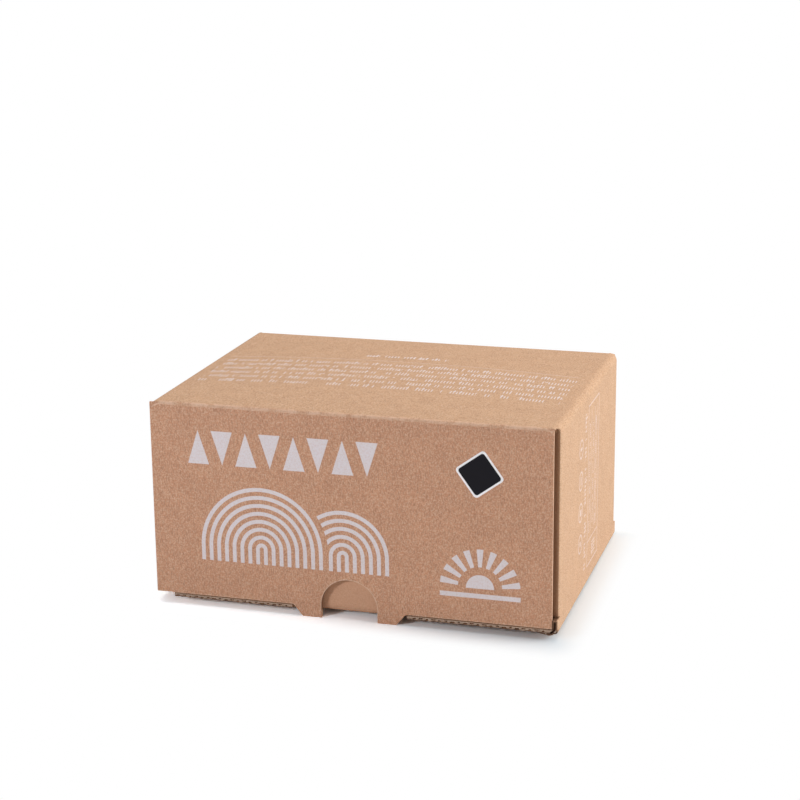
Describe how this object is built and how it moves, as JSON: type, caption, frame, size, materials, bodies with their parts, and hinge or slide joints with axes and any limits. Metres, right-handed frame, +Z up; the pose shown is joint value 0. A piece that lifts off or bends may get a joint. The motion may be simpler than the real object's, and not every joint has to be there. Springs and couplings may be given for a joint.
{
  "type": "folding corrugated carton",
  "caption": "Oblong kraft corrugated carton with soft folded edges, closed by a front flap whose locking tab has a thumb cut-out.",
  "frame": {"origin": "under the middle of the whole, at the height of the locking tab's leg tips, on which the front stands", "axes": "+X to the right along the front, +Y from the front flap to the back end, +Z up"},
  "size_m": [0.206, 0.1532, 0.1085],
  "materials": {
    "board": "matt uncoated kraft liner with white print",
    "label": "satin label paper with a printed dark field"
  },
  "bodies": {
    "box": {"carton": "board"},
    "flap": {"front_flap": "board", "colour_label": "label"}
  },
  "joints": [
    {"name": "front_flap_hinge", "type": "hinge", "parent": "box", "child": "flap", "pos_m": [0, -0.07605, 0.10515], "axis": [-1, 0, 0], "range_deg": [0, 175]}
  ]
}
